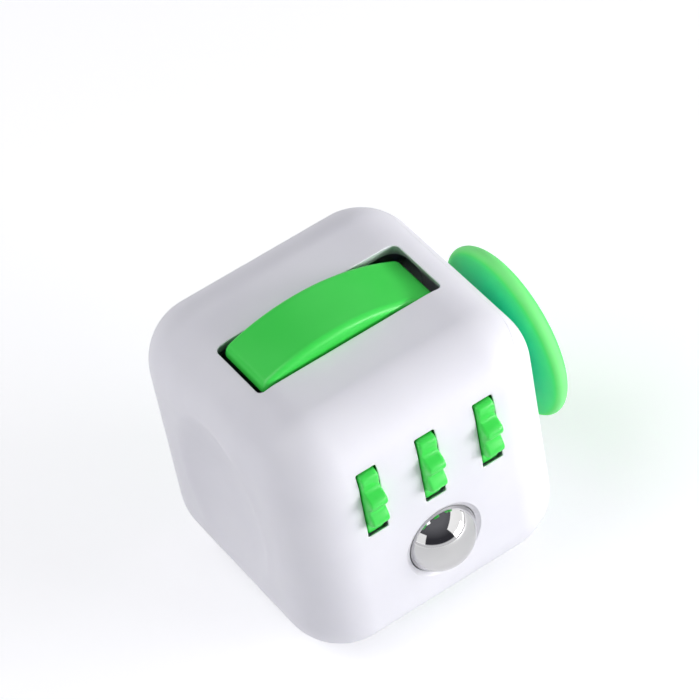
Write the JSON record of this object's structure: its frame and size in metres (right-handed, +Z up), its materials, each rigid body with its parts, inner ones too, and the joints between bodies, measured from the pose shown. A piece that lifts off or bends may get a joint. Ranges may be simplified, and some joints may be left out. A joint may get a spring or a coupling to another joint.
{
  "type": "fidget cube",
  "caption": "Hand-held fidget cube in white and green: a rocker, toothed wheels and a steel ball, a thumb dish, a glide pad, click buttons and a spin dial, one play on each face.",
  "frame": {"origin": "centre of the outer flat face of the spin dial, which the cube stands on", "axes": "+X to the face with the glide pad, +Y from the face with the wheels and ball to the face with the buttons, +Z up to the face with the rocker"},
  "size_m": [0.0383, 0.0373, 0.0359],
  "materials": {
    "white_shell": "fine satin moulded plastic",
    "rocker_green": "satin moulded plastic",
    "wheel_green": "satin moulded plastic",
    "pad_green": "satin moulded plastic",
    "button_green": "satin moulded plastic",
    "dial_green": "satin moulded plastic",
    "inner_frame": "moulded plastic",
    "ball_chrome": "mirror polished steel",
    "spring_steel": "bright spring steel",
    "screw_steel": "zinc plated steel",
    "silicone": "soft translucent silicone"
  },
  "bodies": {
    "casing": {"front_shell": "white_shell", "rear_shell": "white_shell", "rocker_frame": "inner_frame", "rocker_pin": "spring_steel", "rocker_screw_1": "screw_steel", "rocker_screw_2": "screw_steel", "rocker_screw_3": "screw_steel", "rocker_screw_4": "screw_steel", "roll_frame": "inner_frame", "roll_screw_1": "screw_steel", "roll_screw_2": "screw_steel", "roll_screw_3": "screw_steel", "roll_screw_4": "screw_steel", "gear_axle": "spring_steel", "gear_detent_spring": "spring_steel", "ball_spring": "spring_steel", "ball_click_dome": "spring_steel", "glide_frame": "inner_frame", "glide_screw_1": "screw_steel", "glide_screw_2": "screw_steel", "glide_screw_3": "screw_steel", "glide_centering_ring": "silicone", "click_frame": "inner_frame", "click_screw_1": "screw_steel", "click_screw_2": "screw_steel", "click_screw_3": "screw_steel", "click_screw_4": "screw_steel", "snap_dome_1": "spring_steel", "snap_dome_2": "spring_steel", "snap_dome_3": "spring_steel", "rubber_dome_1": "silicone", "rubber_dome_2": "silicone"},
    "rocker_body": {"rocker": "rocker_green", "rocker_plunger": "spring_steel", "rocker_spring": "spring_steel"},
    "left_wheel": {"gear_left": "wheel_green"},
    "middle_wheel": {"gear_middle": "wheel_green"},
    "right_wheel": {"gear_right": "wheel_green"},
    "ball_carrier": {"ball_cup": "inner_frame"},
    "rolling_ball": {"ball": "ball_chrome"},
    "glide_cross_slide": {"glide_carriage": "inner_frame"},
    "glide_pad": {"glide_cap": "pad_green", "glide_retainer": "inner_frame", "glide_cap_screw": "screw_steel"},
    "button_body_1": {"button_1": "button_green"},
    "button_body_2": {"button_2": "button_green"},
    "button_body_3": {"button_3": "button_green"},
    "button_body_4": {"button_4": "button_green"},
    "button_body_5": {"button_5": "button_green"},
    "dial_body": {"spin_dial": "dial_green", "spin_washer": "spring_steel", "spin_screw": "screw_steel"}
  },
  "joints": [
    {"name": "rocker_tilt", "type": "hinge", "parent": "casing", "child": "rocker_body", "pos_m": [0, 0, 0.0303], "axis": [0, 1, 0], "range_deg": [-10, 0]},
    {"name": "left_wheel_spin", "type": "hinge", "parent": "casing", "child": "left_wheel", "pos_m": [-0.0073, -0.0119, 0.0248], "axis": [1, 0, 0], "continuous": true, "deforming": ["gear_detent_spring"]},
    {"name": "middle_wheel_spin", "type": "hinge", "parent": "casing", "child": "middle_wheel", "pos_m": [0, -0.0119, 0.0248], "axis": [1, 0, 0], "continuous": true, "deforming": ["gear_detent_spring"]},
    {"name": "right_wheel_spin", "type": "hinge", "parent": "casing", "child": "right_wheel", "pos_m": [0.0073, -0.0119, 0.0248], "axis": [1, 0, 0], "continuous": true, "deforming": ["gear_detent_spring"]},
    {"name": "ball_press", "type": "slide", "parent": "casing", "child": "ball_carrier", "axis": [0, 1, 0], "range_m": [0, 0.0008], "stiffness_N_per_m": 800, "springref_m": -0.0005, "deforming": ["ball_spring", "ball_click_dome"]},
    {"name": "ball_roll", "type": "hinge", "parent": "ball_carrier", "child": "rolling_ball", "pos_m": [0, -0.01485, 0.0133], "axis": [1, 0, 0], "continuous": true},
    {"name": "glide_up_down", "type": "slide", "parent": "casing", "child": "glide_cross_slide", "axis": [0, 0, 1], "range_m": [-0.0014, 0.0014], "stiffness_N_per_m": 400, "deforming": ["glide_centering_ring"]},
    {"name": "glide_sideways", "type": "slide", "parent": "glide_cross_slide", "child": "glide_pad", "axis": [0, 1, 0], "range_m": [-0.0014, 0.0014], "stiffness_N_per_m": 400, "deforming": ["glide_centering_ring"]},
    {"name": "button_1_press", "type": "slide", "parent": "casing", "child": "button_body_1", "axis": [0, -1, 0], "range_m": [0, 0.0008], "stiffness_N_per_m": 1500, "springref_m": -0.0004, "deforming": ["snap_dome_1"]},
    {"name": "button_2_press", "type": "slide", "parent": "casing", "child": "button_body_2", "axis": [0, -1, 0], "range_m": [0, 0.0008], "stiffness_N_per_m": 900, "springref_m": -0.0004, "deforming": ["rubber_dome_1"]},
    {"name": "button_3_press", "type": "slide", "parent": "casing", "child": "button_body_3", "axis": [0, -1, 0], "range_m": [0, 0.0008], "stiffness_N_per_m": 1500, "springref_m": -0.0004, "deforming": ["snap_dome_2"]},
    {"name": "button_4_press", "type": "slide", "parent": "casing", "child": "button_body_4", "axis": [0, -1, 0], "range_m": [0, 0.0008], "stiffness_N_per_m": 1500, "springref_m": -0.0004, "deforming": ["snap_dome_3"]},
    {"name": "button_5_press", "type": "slide", "parent": "casing", "child": "button_body_5", "axis": [0, -1, 0], "range_m": [0, 0.0008], "stiffness_N_per_m": 900, "springref_m": -0.0004, "deforming": ["rubber_dome_2"]},
    {"name": "dial_spin", "type": "hinge", "parent": "casing", "child": "dial_body", "pos_m": [0, 0, 0], "axis": [0, 0, 1], "continuous": true}
  ]
}
